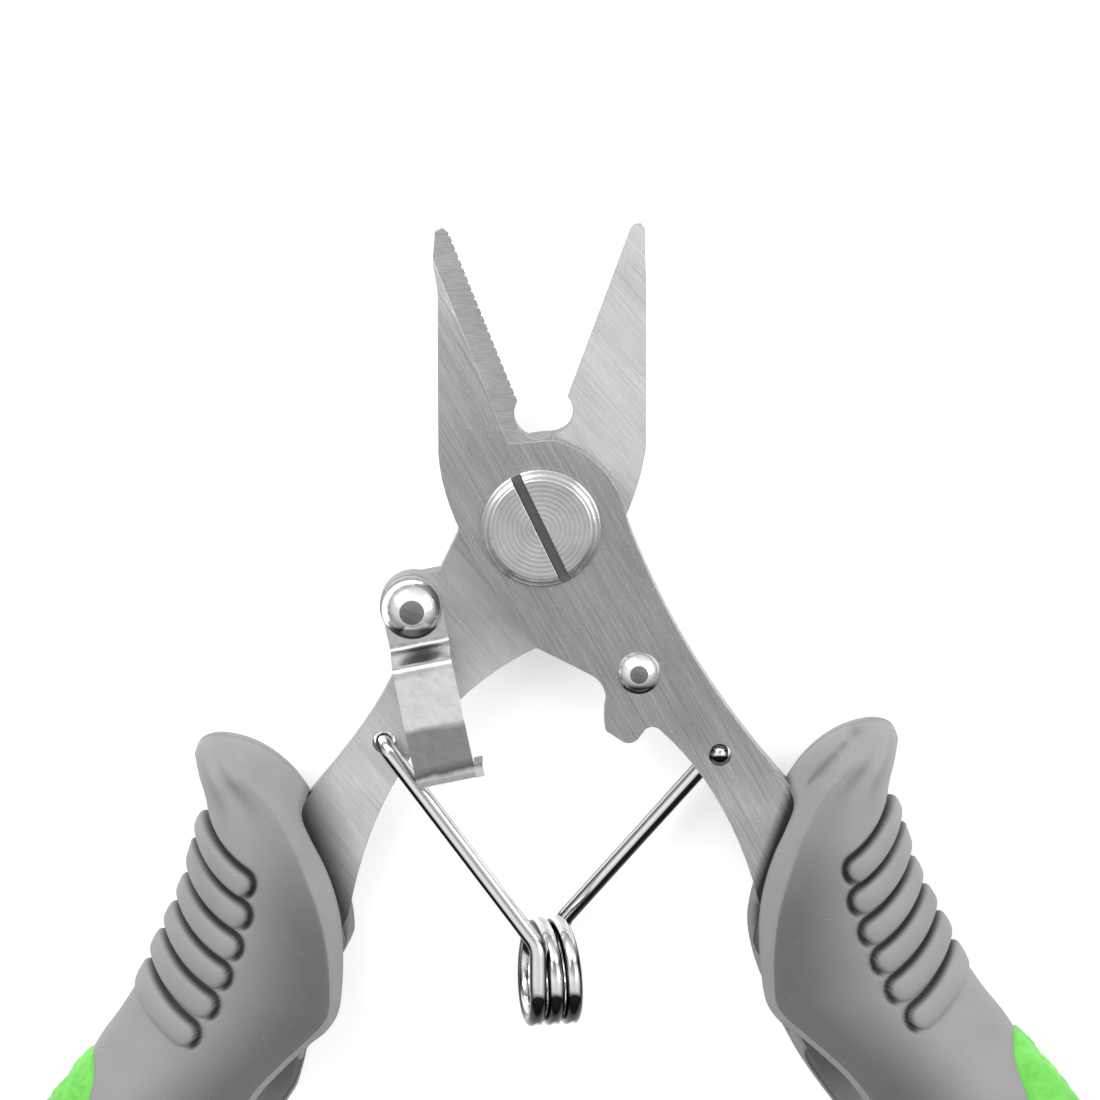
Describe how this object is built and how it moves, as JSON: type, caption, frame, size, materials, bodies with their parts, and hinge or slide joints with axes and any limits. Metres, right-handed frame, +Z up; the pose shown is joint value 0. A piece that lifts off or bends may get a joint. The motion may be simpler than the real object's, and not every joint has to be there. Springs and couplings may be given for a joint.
{
  "type": "fishing pliers",
  "caption": "Spring-open fishing pliers with crossed steel levers, shearing jaws, a swinging keeper latch and moulded two-colour grips.",
  "frame": {"origin": "middle of the open tool's footprint, on the surface its grips lie on", "axes": "+Z up out of the upper plate's face, +Y towards the jaw tips, +X to the right seen from above"},
  "size_m": [0.123, 0.1314, 0.014],
  "materials": {
    "lever_steel": "flat plates with fine brushed scratches",
    "turned_steel": "turned rings",
    "strap_steel": "bright rolled spring strip",
    "polished_rivet": "polished",
    "spring_wire": "bright drawn wire",
    "core_plastic": "smooth dark moulding",
    "grip_rubber": "matte grey soft moulding",
    "inlay_rubber": "matte green textured moulding"
  },
  "bodies": {
    "rear_half": {"rear_lever": "lever_steel", "pivot_screw": "turned_steel", "pivot_washer": "turned_steel", "pivot_nut": "turned_steel", "latch_rivet": "polished_rivet", "latch_washer": "polished_rivet", "left_handle_core": "core_plastic", "left_grip_front": "grip_rubber", "left_grip_rear": "grip_rubber", "left_inlay": "inlay_rubber"},
    "front_half": {"front_lever": "lever_steel", "stop_rivet": "polished_rivet", "stop_collar": "turned_steel", "right_handle_core": "core_plastic", "right_grip_front": "grip_rubber", "right_grip_rear": "grip_rubber", "right_inlay": "inlay_rubber"},
    "latch": {"latch_strap": "strap_steel"},
    "spring_left": {"spring_left_arm": "spring_wire", "spring_coil": "spring_wire"},
    "spring_right": {"spring_right_arm": "spring_wire"}
  },
  "joints": [
    {"name": "jaw_pivot", "type": "hinge", "parent": "rear_half", "child": "front_half", "pos_m": [-0.00192, 0.03407, 0.007], "axis": [0, 0, -1], "range_deg": [0, 38], "stiffness_Nm_per_rad": 0.35, "deforming": ["spring_left_arm", "spring_coil", "spring_right_arm"]},
    {"name": "latch_pivot", "type": "hinge", "parent": "rear_half", "child": "latch", "pos_m": [-0.01547, 0.02497, 0.007], "axis": [0, 0, 1], "range_deg": [-15, 4.5]},
    {"name": "spring_left_eye", "type": "hinge", "parent": "rear_half", "child": "spring_left", "pos_m": [-0.01848, 0.01049, 0.007], "axis": [0, 0, -1], "range_deg": [0, 42]},
    {"name": "spring_coil_bend", "type": "hinge", "parent": "spring_left", "child": "spring_right", "pos_m": [-0.00097, -0.01193, 0.007], "axis": [0, 0, 1], "range_deg": [0, 41]}
  ],
  "couplings": [
    {"joint": "spring_left_eye", "follows": "jaw_pivot", "ratio": 1.1},
    {"joint": "spring_coil_bend", "follows": "jaw_pivot", "ratio": 1.072}
  ]
}
